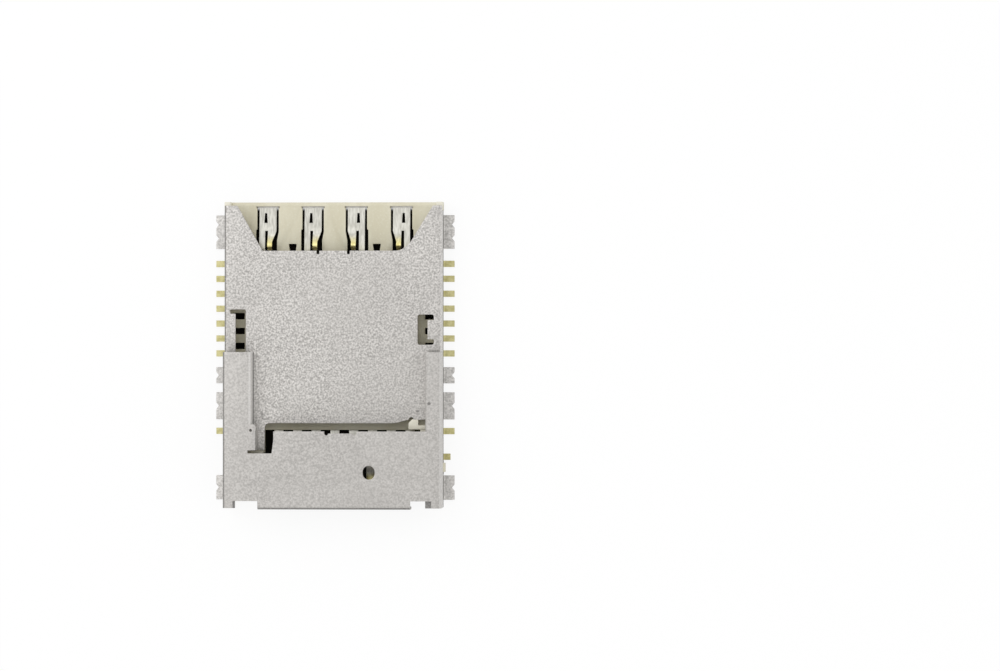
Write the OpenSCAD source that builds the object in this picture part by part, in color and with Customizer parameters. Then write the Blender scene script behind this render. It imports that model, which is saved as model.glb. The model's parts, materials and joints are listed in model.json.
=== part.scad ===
// Stacked card connector for a circuit board: a small subscriber card slides
// in under the low plate of the shell, and a thin memory card slides in over it.
// Frame: +Y points out of the card mouth, +Z away from the board, z = 0 is the
// board's surface, and the origin is the middle of the footprint. Millimetres.

/* [Body] */
// Width over the side walls of the shell
body_w = 12.75; // [12.65:0.05:13.4]
// Length from the mouth edge to the back of the stop wall
body_l = 17.9; // [17.6:0.1:19]
// Thickness of the moulded floor
floor_t = 0.45; // [0.42:0.01:0.6]
// Play between the moulding and the shell's side walls
shell_play = 0.02; // [0.01:0.01:0.04]
// Reach of the solder tails and tabs beyond the side walls
solder_reach = 0.625; // [0.5:0.005:1]

/* [Cards] */
// Width of the lower card
sim_card_w = 12; // [11.8:0.05:12.1]
// Height of the lower card's space
sim_space = 0.85; // [0.8:0.01:1]
// Full width of the upper card
mem_card_w = 11; // [10.9:0.05:11.2]
// Width of the upper card's nose
mem_nose_w = 9.7; // [9.6:0.05:9.8]
// Height of the upper card's space
mem_space = 0.75; // [0.72:0.01:0.9]
// Place of the upper card's straight edge, from the middle
mem_card_edge = 5.36; // [5.2:0.01:5.45]
// Play beside each card
card_play = 0.07; // [0.03:0.01:0.1]

/* [Shell] */
// Thickness of the shell's sheet
sheet_t = 0.15; // [0.1:0.01:0.18]
// Radius of the shell's bends, at the middle of the sheet
bend_r = 0.15; // [0.1:0.01:0.2]
// Distance of the shell's front edge from the mouth edge
shell_setback = 0.22; // [0.12:0.01:0.3]
// Depth of the finger arch in the front edge
arch_depth = 2.63; // [2.5:0.01:3.2]
// Width of the finger arch near its bottom
arch_bottom_w = 8.6; // [8:0.05:9]
// Width of the finger arch at the front edge
arch_top_w = 11.45; // [10.5:0.05:11.6]
// Distance of the raised flanges' front edge from the mouth edge
raise_setback = 8.75; // [8.6:0.05:9]
// Height of the side walls' lower edge above the board
wall_clear = 0.4; // [0.35:0.01:0.5]
// Height of the stop wall's lower edge above the board
stop_clear = 1.3; // [1.1:0.05:1.5]
// Width of the stop wall
stop_w = 8.9; // [8:0.05:9]
// Depth of the notches beside the stop wall
notch_depth = 0.49; // [0.4:0.01:0.6]
// Half length of the oval sight hole, along the card
sight_r = 0.4; // [0.3:0.01:0.45]

/* [Lower contacts] */
// Distance of the inner contacts from the middle
sim_inner_x = 1.27; // [1.2:0.01:1.35]
// Distance of the outer contacts from the middle
sim_outer_x = 3.92; // [3.9:0.01:3.96]
// Distance between the two rows of contacts
sim_row_gap = 7; // [6.9:0.01:7.1]
// Distance of the front windows from the mouth edge
sim_setback = 0.33; // [0.3:0.01:0.37]
// Length of a contact's window
sim_window_l = 3.4; // [3.3:0.01:3.5]
// Width of a contact's plate
sim_plate_w = 1; // [0.9:0.01:1.05]
// Gap beside a contact's plate in its window
sim_side_gap = 0.13; // [0.1:0.01:0.15]
// Length of the plate from its root to the fork
sim_plate_l = 1.34; // [1.2:0.01:1.5]
// Length from the root to the crest of the contact tongue
sim_crest_l = 2.2; // [2.1:0.01:2.25]
// Rise of the contact tongue above the plate's slope
sim_rise = 0.37; // [0.3:0.01:0.42]
// Slope of the plate, in degrees
sim_slope = 7; // [5:0.5:8]

/* [Upper contacts] */
// Distance between neighbouring contacts
mem_pitch = 1.1; // [1.08:0.01:1.12]
// Place of the first contact, from the middle
mem_first_x = 4.4; // [4.3:0.01:4.5]
// Width of a contact beam
mem_beam_w = 0.53; // [0.4:0.01:0.6]
// Length of a contact beam along the card
mem_beam_l = 3.64; // [3.5:0.01:3.7]
// Height of the beams' crests above the board
mem_crest_z = 1.7; // [1.6:0.01:1.75]
// Length of the bay that the beams stand in
bay_l = 4.59; // [4.5:0.01:4.65]

/* [Terminals] */
// Thickness of the contact strip
strip_t = 0.1; // [0.08:0.01:0.12]
// Height of the strip's lower face in the moulding
strip_z = 0.2; // [0.18:0.01:0.25]
// Width of a lead inside the moulding
lead_w = 0.14; // [0.1:0.01:0.16]
// Width of a solder tail
tail_w = 0.37; // [0.3:0.01:0.42]
// Distance between neighbouring solder tails
tail_pitch = 0.873; // [0.86:0.001:0.88]
// Distance of the first solder tail from the mouth edge
tail_setback = 3.6; // [3.5:0.01:3.7]
// Height of the detect spring's crest above the board
detect_crest_z = 2.16; // [2.05:0.01:2.18]

/* [Hidden] */
SIM_COUNT = 8;
MEM_COUNT = 8;
SIDE_TAILS = 7;

BEND_STEPS = 6;
cut = 0.01; // how far a cutting shape runs past the face that it cuts
over = 1; // how far an open cut runs past the outline

// Levels of the two decks
low_under = floor_t + sim_space;
low_top = low_under + sheet_t;
high_under = low_top + mem_space;
high_top = high_under + sheet_t;

// Places along Y
mouth = body_l / 2;
stop = -body_l / 2;
shell_front = mouth - shell_setback;
post_y = mouth - 0.49;
raise_y = mouth - raise_setback;
bay_y = stop + bay_l;
sim_stop_y = bay_y + 0.06;
slot_far = bay_y - 0.05;
slot_near = slot_far + 0.46;
notch_y = stop + notch_depth;
leg_end = notch_y + 0.03;
foot_end = stop + 0.08;

// Places along X
wall_x = body_w / 2;
wall_mid = wall_x - sheet_t / 2;
inner_x = wall_x - sheet_t;
base_x = inner_x - shell_play;
rail_x = sim_card_w / 2 + 0.02;
solder_x = wall_x + solder_reach;
step_right = mem_card_edge + card_play;
nose_left = mem_card_edge - mem_nose_w;
step_left = nose_left - 0.34;
ear_left = mem_card_edge - mem_card_w - card_play;
mem_last_x = mem_first_x - (MEM_COUNT - 1) * mem_pitch;
bay_right = mem_first_x + mem_beam_w / 2 + 0.42;
bay_left = mem_last_x - mem_beam_w / 2 - 0.54;

// Finger beside the bay, under the nose of the upper card
finger_right = bay_left + 0.1;
finger_left = finger_right - 0.46;
finger_web = finger_left - 0.1;
finger_end = slot_far - 1.1;
finger_gap = 0.6;

// Lugs beside the notches at the back, set down from the raised plate
lug_drop = 0.1;
lug_edge = 5.78;
lug_left = 5.66;
lug_right = 5.43;
foot_left = 5.92;

// Small helpers for bent strips: a centre line becomes the outline of a strip.
function unit(v) = v / norm(v);
function left_of(v) = [-v[1], v[0]];
function turned(v, a) = [v[0] * cos(a) - v[1] * sin(a), v[0] * sin(a) + v[1] * cos(a)];
function reversed(p) = [for (i = [len(p) - 1 : -1 : 0]) p[i]];
function cross_z(a, b) = a[0] * b[1] - a[1] * b[0];

// The points of an arc of radius r that rounds the corner b between a and c
function fillet(a, b, c, r) =
    let (
        u = unit(a - b),
        v = unit(c - b),
        half = acos(u * v) / 2,
        centre = b + unit(u + v) * (r / sin(half)),
        from = b + u * (r / tan(half)) - centre,
        sweep = (180 - 2 * half) * sign(cross_z(b - a, c - b))
    )
    [for (i = [0 : BEND_STEPS]) centre + turned(from, sweep * i / BEND_STEPS)];

// An open line with each of its inner corners rounded
function rounded(p, r) =
    concat(
        [p[0]],
        [for (i = [1 : len(p) - 2]) each fillet(p[i - 1], p[i], p[i + 1], r)],
        [p[len(p) - 1]]
    );

function corner_normal(p, i) =
    let (
        j = max(i, 1),
        k = min(i, len(p) - 2),
        before = unit(p[j] - p[j - 1]),
        after = unit(p[k + 1] - p[k]),
        n = unit(left_of(before) + left_of(after))
    )
    n / (n * left_of(before));

function offset_line(p, d) = [for (i = [0 : len(p) - 1]) p[i] + d * corner_normal(p, i)];

// The outline of a strip of thickness t along the line p
function strip(p, t) = concat(offset_line(p, t / 2), reversed(offset_line(p, -t / 2)));

// A box given by two opposite corners
module block(low, high) {
    translate(low) cube(high - low);
}

// A rectangle given by two opposite corners
module pane(low, high) {
    translate(low) square(high - low);
}

// A rectangle with rounded corners
module soft_pane(low, high, r) {
    pane([low[0] + r, low[1]], [high[0] - r, high[1]]);
    pane([low[0], low[1] + r], [high[0], high[1] - r]);
    for (x = [low[0] + r, high[0] - r])
        for (y = [low[1] + r, high[1] - r])
            translate([x, y]) circle(r = r, $fn = 24);
}

// The same shape on both sides of the connector
module both_sides() {
    children();
    mirror([1, 0, 0]) children();
}

// A profile in X and Z, drawn along Y from y0 up to y1
module along_y(y0, y1) {
    translate([0, y1, 0]) rotate([90, 0, 0]) linear_extrude(y1 - y0) children();
}

// A profile in Y and Z, drawn along X from x0 up to x1
module along_x(x0, x1) {
    translate([x0, 0, 0]) rotate([90, 0, 90]) linear_extrude(x1 - x0) children();
}

// A plan in X and Y, drawn up from z0 to z1
module along_z(z0, z1) {
    translate([0, 0, z0]) linear_extrude(z1 - z0) children();
}

// Shell: one stamped and folded sheet.
low_mid = low_top - sheet_t / 2;
high_mid = high_top - sheet_t / 2;

module folded(line, r = bend_r) {
    polygon(strip(rounded(line, r), sheet_t));
}

// Front: one low plate between the side walls
module front_section() {
    folded([
        [-wall_mid, wall_clear], [-wall_mid, low_mid],
        [wall_mid, low_mid], [wall_mid, wall_clear]
    ]);
}

// Middle: the low plate with a raised flange at each side
module middle_section() {
    left = step_left - sheet_t / 2;
    right = step_right + sheet_t / 2;
    folded([
        [-wall_mid, wall_clear], [-wall_mid, high_mid], [left, high_mid], [left, low_mid],
        [right, low_mid], [right, high_mid], [wall_mid, high_mid], [wall_mid, wall_clear]
    ]);
}

// Back: one raised plate between the side walls
module back_section() {
    folded([
        [-wall_mid, wall_clear], [-wall_mid, high_mid],
        [wall_mid, high_mid], [wall_mid, wall_clear]
    ]);
}

// Finger arch in the front edge, open to the front
module arch_outline() {
    corner_r = 0.8;
    tight_r = 0.15;
    corner_h = 0.42;
    corner_w = 0.55;
    bottom = shell_front - arch_depth;
    bottom_shift = 0.165;
    top_shift = 0.115;
    top_left = [top_shift - arch_top_w / 2, shell_front + cut];
    top_right = [top_shift + arch_top_w / 2, shell_front + cut];
    low_left = [bottom_shift - arch_bottom_w / 2, bottom];
    side_right = [bottom_shift + arch_bottom_w / 2, bottom + corner_h];
    low_right = [side_right[0] - corner_w, bottom];
    polygon(concat(
        [top_left],
        fillet(top_left, low_left, low_right, tight_r),
        fillet(low_left, low_right, side_right, corner_r),
        fillet(low_right, side_right, top_right, corner_r),
        [top_right]
    ));
    // Two small notches over the inner contacts
    notch_half = 0.085;
    notch_x = sim_inner_x - 0.38;
    for (x = [-notch_x, notch_x])
        translate([x, bottom])
            soft_pane([-notch_half, -0.2], [notch_half, 0.2], 0.06);
}

// L-shaped window that frees the flap at the left of the upper card
module left_window() {
    inner = ear_left + 0.6;
    top = raise_y + 2.48;
    pane([ear_left, raise_y - 0.03], [inner, top - 0.1]);
    soft_pane([ear_left - 0.34, top - 0.25], [inner, top], 0.1);
}

// C-shaped window round the tongue beside the upper card's straight edge
module right_window() {
    outer = mem_card_edge + 0.52;
    tongue_tip = mem_card_edge + 0.155;
    middle = raise_y + 1.3;
    difference() {
        soft_pane([outer - 0.95, middle - 0.88], [outer, middle + 0.88], 0.13);
        pane([tongue_tip, middle - 0.56], [outer + over, middle + 0.56]);
    }
}

// Slot across the shell where the low plate ends
module card_slot() {
    ramp = step_right - 1.04;
    rise = 0.21;
    polygon(concat(
        [[finger_right, slot_far - cut]],
        fillet([finger_right, slot_far], [finger_right, slot_near], [ramp, slot_near], 0.28),
        fillet([finger_right, slot_near], [ramp - 0.8, slot_near], [ramp, slot_near + rise], 1.5),
        [[ramp, slot_near + rise], [step_right, slot_near + rise], [step_right, slot_far - cut]]
    ));
    translate([ramp + 0.17, slot_near + rise]) circle(r = 0.15, $fn = 24);
}

// Cut-outs of the raised plate: room round the finger, edge relief and sight hole
module back_cuts() {
    relief = [-0.43, 1.44];
    relief_depth = 0.12;
    ear_r = 0.11;
    gap_end = finger_end - 0.18;
    slit_left = finger_left - 0.45;
    polygon([
        [finger_web, slot_far + cut], [finger_web, finger_end], [slit_left, finger_end],
        [slit_left, gap_end], [finger_right + finger_gap - 0.1, gap_end],
        [finger_right + finger_gap, finger_end + 0.6], [finger_right + finger_gap, slot_far + cut]
    ]);
    pane([relief[0], slot_far - relief_depth], [relief[1], slot_far + cut]);
    for (x = [relief[0] + ear_r, relief[1] - ear_r])
        translate([x, slot_far - relief_depth]) circle(r = ear_r, $fn = 20);
    half_gap = 0.05;
    sight_w = sight_r - half_gap;
    translate([mem_first_x - 2.25, stop + 2.15]) {
        for (y = [-half_gap, half_gap]) translate([0, y]) circle(r = sight_w, $fn = 40);
        pane([-sight_w, -half_gap], [sight_w, half_gap]);
    }
}

// Rounded corner of the raised plate, from the left flange to the finger's web
module web_corner() {
    far = slot_far + 0.42;
    edge = finger_left + 0.04;
    start = [step_left - 0.3, slot_far - cut];
    polygon(concat(
        [start, [start[0], far]],
        fillet([start[0], far], [edge, far], [edge, start[1]], 0.2),
        [[edge, start[1]]]
    ));
}

// Small round hole at the corner where the finger's web meets the left flange
module corner_hole() {
    along_z(low_top + 0.15, high_top + cut)
        translate([step_left - 0.05, slot_far + 0.06]) circle(r = 0.08, $fn = 20);
}

// Finger at the low level with its sloped web up to the left flange
module finger() {
    along_y(finger_end, slot_far + cut)
        folded([
            [finger_web - 0.3, high_mid], [finger_web + 0.05, high_mid],
            [finger_left, low_mid], [finger_right, low_mid]
        ], 0.12);
}

// Wall bent down at the back, which stops the upper card
module stop_wall() {
    shift = 0.11;
    along_x(shift - stop_w / 2, shift + stop_w / 2)
        folded([
            [notch_y + 0.1, high_mid], [stop + sheet_t / 2, high_mid],
            [stop + sheet_t / 2, stop_clear]
        ]);
}

// Solder tabs: their ranges along Y, the first ones from the mouth, the last from the back
TABS = [
    [mouth - 2.72, mouth - 0.75],
    [mouth - 10.59, mouth - 9.64],
    [bay_y + 0.61, bay_y + 2.2],
    [stop + 0.5, stop + 1.93]
];
function tab_notches(tab) =
    tab[1] - tab[0] > 1.8 ? [tab[1] - 0.55, tab[1] - 1.35] : [(tab[0] + tab[1]) / 2];

// One solder tab on the right: down from the wall and out along the board
module solder_tab(tab) {
    notch_half = 0.2;
    notch_in = 0.15;
    difference() {
        along_y(tab[0], tab[1])
            folded([
                [wall_mid, wall_clear + sheet_t], [wall_mid, sheet_t / 2],
                [solder_x, sheet_t / 2]
            ]);
        for (y = tab_notches(tab))
            along_z(-cut, sheet_t + cut)
                polygon([
                    [solder_x + cut, y - notch_half], [solder_x + cut, y + notch_half],
                    [solder_x - notch_in, y]
                ]);
    }
}

// Latch: a window in the side wall catches a nub of the housing
nub_y = stop + 2.41;
nub_half = 0.265;
nub_low = 0.28;
nub_high = 0.85;
nub_play = 0.03;
module latch_strap() {
    bar = 0.12;
    side = nub_half + nub_play + bar;
    block([inner_x, nub_y - side, nub_low - nub_play - bar],
        [wall_x, nub_y + side, wall_clear + sheet_t]);
}
module latch_window() {
    side = nub_half + nub_play;
    block([inner_x - cut, nub_y - side, nub_low - nub_play],
        [wall_x + cut, nub_y + side, nub_high + nub_play]);
}

module shell() {
    color([0.77, 0.755, 0.735]) {
        difference() {
            finger();
            corner_hole();
        }
        difference() {
            union() {
                along_y(raise_y, shell_front) front_section();
                along_y(slot_far, raise_y) middle_section();
                along_y(foot_end, slot_far) back_section();
                along_z(high_under, high_top) web_corner();
                both_sides() latch_strap();
            }
            along_z(low_under - cut, low_top + cut) {
                arch_outline();
                left_window();
                right_window();
                card_slot();
            }
            along_z(high_under - cut, high_top + cut) {
                back_cuts();
                pane([-lug_edge, stop - over], [lug_edge, notch_y]);
            }
            corner_hole();
            both_sides() {
                latch_window();
                // Room for the housing's corner post
                block([rail_x - 0.05, post_y, 0], [wall_x + cut, mouth, low_under]);
            }
        }
        stop_wall();
        block([-lug_edge - cut, foot_end, high_under - lug_drop],
            [-lug_left, notch_y + cut, high_top - lug_drop]);
        block([lug_right, foot_end, high_under - lug_drop],
            [lug_edge + cut, notch_y + cut, high_top - lug_drop]);
        for (tab = TABS) both_sides() solder_tab(tab);
    }
}

// Lower contacts: numbered from the left, the front row first.
SIM_X = [-sim_outer_x, -sim_inner_x, sim_inner_x, sim_outer_x];
function sim_x(i) = SIM_X[(i - 1) % 4];
function sim_front(i) = i <= 4;
function sim_side(i) = sim_x(i) < 0 ? -1 : 1;
function sim_outer(i) = abs(sim_x(i)) == sim_outer_x;
function sim_root_y(i) = mouth - sim_setback - (sim_front(i) ? 0 : sim_row_gap);
strip_mid = strip_z + strip_t / 2;
root_l = 0.22; // length of the part of a plate that is held in the moulding
root_side = 0.18; // how far that part is wider than the plate, on each side
arm_w = 0.35; // width of the arm beside the tongue
arm_reach = 1.35; // reach of the arm beyond the plate
fork_gap = 0.13; // gap between the arm and the tongue
tongue_w = 0.3; // width of the tongue at its crest
tip_reach = 0.27; // reach of the tongue's tip beyond its crest
tip_drop = 0.18; // how far the tip curls down
hole_y = [0.3, 0.88]; // the plate's drop-shaped hole, from the root
hole_shift = 0.12; // distance of the hole from the plate's middle

// The side view of a blade that runs to -Y, from points of [distance from the root, height]
module side_profile(line, r) {
    polygon(strip(rounded([for (q = line) [-q[0], q[1]]], r), strip_t));
}

// The plan of a blade that runs to -Y, from points of [place across, distance from the root]
module blade_plan(outline) {
    polygon([for (q = outline) [q[0], -q[1]]]);
}

// One blade on the left side, with its root at the origin. The tongue lies on the
// side of the connector's middle, and the longer arm lies outside it.
module sim_blade() {
    half = sim_plate_w / 2;
    arm_l = sim_plate_l + arm_reach;
    arm_in = arm_w - half;
    tongue_out = arm_in + fork_gap;
    tongue_in = tongue_out + tongue_w;
    tip_l = sim_crest_l + tip_reach;
    slope = tan(sim_slope);
    reach = half + over;
    crest = strip_mid + sim_crest_l * slope + sim_rise;
    arm_end = strip_mid + (arm_l - 0.3) * slope;
    difference() {
        intersection() {
            along_x(-reach, reach)
                side_profile([[0, strip_mid], [arm_l - 0.3, arm_end], [arm_l, arm_end - 0.01]], 0.3);
            along_z(0, high_top)
                blade_plan([
                    [-half, 0], [half, 0], [half, sim_plate_l], [arm_in, sim_plate_l],
                    [arm_in, arm_l], [-half + 0.03, arm_l], [-half, arm_l - 0.1]
                ]);
        }
        along_z(0, high_top)
            blade_plan([
                [-hole_shift - 0.045, hole_y[0]], [-hole_shift + 0.045, hole_y[0]],
                [-hole_shift + 0.085, hole_y[1]], [-hole_shift - 0.085, hole_y[1]]
            ]);
    }
    intersection() {
        along_x(-reach, reach)
            side_profile([
                [sim_plate_l - 0.2, strip_mid + (sim_plate_l - 0.2) * slope],
                [sim_plate_l + 0.2, strip_mid + (sim_plate_l + 0.2) * slope + 0.03],
                [sim_crest_l, crest], [tip_l, crest - tip_drop]
            ], 0.1);
        along_z(0, high_top)
            blade_plan([
                [tongue_out, sim_plate_l - 0.1], [half, sim_plate_l - 0.1],
                [half, sim_plate_l + 0.02], [tongue_in, sim_crest_l - 0.2],
                [tongue_in, tip_l - 0.05], [tongue_in - 0.08, tip_l + over],
                [tongue_out + 0.08, tip_l + over], [tongue_out, tip_l - 0.05]
            ]);
    }
}

module sim_spring(i) {
    color([0.78, 0.74, 0.62])
        translate([sim_x(i), sim_root_y(i), 0])
            mirror([sim_side(i) > 0 ? 1 : 0, 0, 0])
                sim_blade();
}

// Terminals: flat leads in the moulding, each ending in a solder tail.
tail_in = 5.2; // where the wide part of a tail begins
function tail_y(k) = k > SIDE_TAILS ? bay_y - 0.07 : mouth - tail_setback - (k - 1) * tail_pitch;

// A flat lead of width w along a line of points
module track(p, w) {
    for (i = [0 : len(p) - 2])
        pane([min(p[i][0], p[i + 1][0]) - w / 2, min(p[i][1], p[i + 1][1]) - w / 2],
            [max(p[i][0], p[i + 1][0]) + w / 2, max(p[i][1], p[i + 1][1]) + w / 2]);
}

// The solder tail on the right at the place y: through the wall and down to the board
module tail(y, inner, reach) {
    along_y(y - tail_w / 2, y + tail_w / 2)
        polygon(strip(rounded([
            [inner, strip_mid], [inner_x - 0.02, strip_mid],
            [wall_x + 0.05, strip_t / 2], [reach, strip_t / 2]
        ], 0.1), strip_t));
}

// A whole terminal on the right: root plate, lead along the points p, and tail k
module terminal(root, p, k) {
    along_z(strip_z, strip_z + strip_t) {
        pane(root[0], root[1]);
        track(p, lead_w);
    }
    tail(tail_y(k), tail_in, solder_x);
}

module sim_terminal(i) {
    x = abs(sim_x(i));
    y = sim_root_y(i);
    half = sim_plate_w / 2;
    turn_x = sim_outer(i) ? x + half + 0.55 : x + half + 1.17;
    k = sim_front(i) ? (sim_outer(i) ? 1 : 2) : (sim_outer(i) ? 5 : 4);
    lane = y + root_l - lead_w / 2;
    side_path = [[x, lane], [turn_x, lane], [turn_x, tail_y(k)], [tail_in, tail_y(k)]];
    direct_path = [[x, lane], [x, tail_y(k)], [tail_in, tail_y(k)]];
    beside = sim_front(i) || sim_outer(i);
    color([0.85, 0.8, 0.55])
        mirror([sim_side(i) < 0 ? 1 : 0, 0, 0])
            terminal([[x - half - root_side, y], [x + half + root_side, y + root_l]],
                beside ? side_path : direct_path, k);
}

// Upper contacts: numbered from the right, as seen from above.
function mem_x(i) = mem_first_x - (i - 1) * mem_pitch;
function mem_side(i) = i <= MEM_COUNT / 2 ? 1 : -1;
mem_root_l = 0.3; // length of a beam's root in the moulding

// Routes of the upper contacts' leads, from the outermost contact inwards
mem_lane = [0.31, 0.71, 1.06, 0.56]; // distance of the cross run from the bay
mem_column = [5.3, 5.1, 4.84, 0.36]; // distance of the long run from the middle
mem_tail = [SIDE_TAILS + 1, SIDE_TAILS, SIDE_TAILS - 1, 3];

// One beam with its root at the origin: up from the moulding to the crest, then curled down
module memory_beam() {
    half = mem_beam_w / 2;
    shoulder = half + 0.065;
    crest_l = mem_beam_l - 0.2;
    crest = mem_crest_z - strip_t / 2;
    right_side = [
        [half, 0], [half, 0.25], [shoulder, 0.38], [shoulder, 0.62], [half, 0.75],
        [half, crest_l - 1], [half - 0.06, crest_l], [half - 0.1, mem_beam_l + over]
    ];
    intersection() {
        along_x(-shoulder, shoulder)
            side_profile([
                [0, strip_mid], [0.4, strip_mid + 0.02], [crest_l - 0.35, crest - 0.06],
                [crest_l, crest], [mem_beam_l, crest - 0.16]
            ], 0.2);
        along_z(0, high_top)
            blade_plan(concat(right_side, [for (q = reversed(right_side)) [-q[0], q[1]]]));
    }
}

module memory_spring(i) {
    color([0.78, 0.74, 0.62]) translate([mem_x(i), bay_y, 0]) memory_beam();
}

module memory_terminal(i) {
    x = abs(mem_x(i));
    half = mem_beam_w / 2;
    n = mem_side(i) > 0 ? i - 1 : MEM_COUNT - i;
    k = mem_tail[n];
    lane = bay_y + mem_lane[n];
    side_x = mem_x(i) * mem_side(i);
    path = [[side_x, bay_y + mem_root_l - lead_w], [side_x, lane], [mem_column[n], lane],
        [mem_column[n], tail_y(k)], [tail_in, tail_y(k)]];
    color([0.85, 0.8, 0.55])
        mirror([mem_side(i) < 0 ? 1 : 0, 0, 0])
            terminal([[x - half, bay_y], [x + half, bay_y + mem_root_l]], path, k);
}

// Card detect switch: a blade across the back of the bay, and its terminal in the right leg.
detect_y = stop + 0.67; // middle of the blade at its root
detect_w = 0.32;
detect_z = low_under - 0.1; // middle of the strip at the root
detect_l = 2.69;
detect_tail_y = stop + 3.02;
detect_tail_less = 0.24; // how much shorter this tail is than the others
detect_run = 0.65; // distance of the terminal's long run from the bay
detect_riser = 0.4; // distance of its riser from the bay
detect_run_w = 0.2;

module detect_spring() {
    crest_x = bay_right - detect_l + 0.25;
    crest = detect_crest_z - strip_t / 2;
    near = detect_y + detect_w / 2;
    far = detect_y - detect_w / 2;
    wide = far - 0.22;
    color([0.78, 0.74, 0.62])
        intersection() {
            along_y(far - over, near)
                polygon(strip(rounded([
                    [bay_right, detect_z], [bay_right - 0.3, detect_z + 0.02],
                    [crest_x + 0.25, crest - 0.03], [crest_x, crest],
                    [bay_right - detect_l, crest - 0.12]
                ], 0.15), strip_t));
            along_z(0, high_top + over)
                polygon([
                    [bay_right, far], [bay_right, near], [crest_x - over, near],
                    [crest_x - over, wide], [crest_x, wide], [bay_right - 0.5, far]
                ]);
        }
}

module detect_terminal() {
    run_x = bay_right + detect_run;
    riser_x = bay_right + detect_riser;
    near = detect_y + detect_w / 2;
    far = detect_y - detect_w / 2;
    top = detect_z + strip_t / 2;
    color([0.85, 0.8, 0.55]) {
        tail(detect_tail_y, run_x, solder_x - detect_tail_less);
        block([run_x - detect_run_w / 2, far, strip_z],
            [run_x + detect_run_w / 2, detect_tail_y + tail_w / 2, strip_z + strip_t]);
        block([riser_x - strip_t / 2, far, strip_z], [run_x, near, strip_z + strip_t]);
        block([riser_x - strip_t / 2, far, strip_z], [riser_x + strip_t / 2, near, top]);
        block([bay_right, far, top - strip_t], [riser_x + strip_t / 2, near, top]);
    }
}

// Moulded housing.
module floor_outline() {
    pane([-wall_x, post_y], [wall_x, mouth]);
    pane([-base_x, bay_y], [base_x, post_y + cut]);
    pane([-base_x, leg_end], [bay_left, bay_y + cut]);
    pane([bay_right, leg_end], [base_x, bay_y + cut]);
}

// Legs beside the bay: low under the card's nose, high beside it
leg_inner_left = nose_left - 0.71;
leg_inner_right = step_right + 0.13;
module legs() {
    rib_l = 2.5;
    low_left = low_under - 0.02;
    block([-base_x, leg_end, 0], [bay_left, sim_stop_y, low_left]);
    block([-base_x, leg_end, 0], [leg_inner_left, sim_stop_y, high_under]);
    block([leg_inner_left - cut, leg_end + 0.1, 0],
        [nose_left - 0.06, leg_end + 0.1 + rib_l, high_under]);
    block([bay_right, leg_end, 0], [base_x, sim_stop_y, low_under + 0.1]);
    block([leg_inner_right, leg_end, 0], [base_x, sim_stop_y, high_under]);
    // Feet under the shell's back corners
    foot_top = high_under - lug_drop;
    block([-base_x, foot_end, 0], [-foot_left, leg_end + cut, foot_top]);
    block([lug_right, foot_end, 0], [base_x, leg_end + cut, foot_top]);
    // Thickened inner corner at the end of the left leg
    along_z(0, low_left)
        polygon([
            [bay_left - cut, leg_end], [bay_left + 0.18, leg_end],
            [bay_left + 0.18, leg_end + 0.18], [bay_left - cut, leg_end + 0.5]
        ]);
}

// Block that fills the cut corner of the lower card, with a pocket in its top
module key_block() {
    right = mem_first_x + 1;
    left = right - 1;
    top = sim_stop_y + 0.59;
    chamfer = 0.22;
    difference() {
        along_z(0, low_top - 0.01)
            polygon([
                [left, sim_stop_y - cut], [right, sim_stop_y - cut], [right, top],
                [left + chamfer, top], [left, top - chamfer]
            ]);
        block([right - 0.43, top - 0.35, low_under - 0.35], [right + cut, top + cut, high_top]);
    }
}

// Nub on the right side, with a ramp that the side wall slides down
module nub() {
    reach = wall_x + 0.12;
    along_y(nub_y - nub_half, nub_y + nub_half)
        polygon([
            [base_x - 0.1, nub_low], [reach, nub_low], [reach, nub_low + 0.12],
            [inner_x + 0.03, nub_high], [base_x - 0.1, nub_high]
        ]);
}

// Window of one lower contact, drawn for the left side: it steps out beside the arm,
// closes in beside the tongue and is widest past the contact's end
window_in = 0.1; // how far the window closes in beside the tongue
window_out = 0.07; // how far it steps out beside the arm
module on_contact(i) {
    translate([sim_x(i), sim_root_y(i)]) mirror([sim_side(i) > 0 ? 1 : 0, 0]) children();
}
module sim_window(i) {
    half = sim_plate_w / 2 + sim_side_gap;
    wide = half + window_in;
    fork = sim_plate_l - 0.05;
    past = sim_crest_l + 0.3;
    on_contact(i) {
        polygon([
            [-half, 0], [half, 0], [half, -fork - 0.1], [half - window_in, -fork - 0.6],
            [half - window_in, -past - cut], [-half - window_out, -past - cut],
            [-half - window_out, -fork], [-half, -fork + 0.05]
        ]);
        soft_pane([-wide, -sim_window_l], [wide, -past], 0.2);
    }
}

// Pockets that bare the contact's root: a narrow one above it, and one round the window below
module root_pocket(i) {
    half = sim_plate_w / 2 + root_side;
    on_contact(i) pane([-half, -cut], [half, 0.1]);
}
module window_recess(i) {
    wide = sim_plate_w / 2 + sim_side_gap + window_in;
    on_contact(i) soft_pane([-wide, -sim_window_l], [wide, 0.14], 0.05);
}

// Windows between the tails
comb_in = 5.29;
comb_out = 5.96;
module comb_windows() {
    height = tail_pitch - tail_w - 0.136;
    for (k = [1 : SIDE_TAILS - 1]) {
        y = tail_y(k) - tail_pitch / 2;
        pane([comb_in, y - height / 2], [comb_out, y + height / 2]);
    }
}

// Holes in the floor where the mould held the leads, on one side and in the middle
pad_y = mouth - 2.43;
small_y = mouth - 11.08;
middle_y = mouth - 10.2;
module side_holes() {
    polygon([
        [2.24, pad_y], [2.69, pad_y], [2.69, pad_y - 0.12], [2.64, pad_y - 0.4],
        [2.64, pad_y - 0.64], [2.29, pad_y - 0.64], [2.29, pad_y - 0.4], [2.24, pad_y - 0.12]
    ]);
    pane([2.69, small_y - 0.38], [3.35, small_y]);
}

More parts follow.
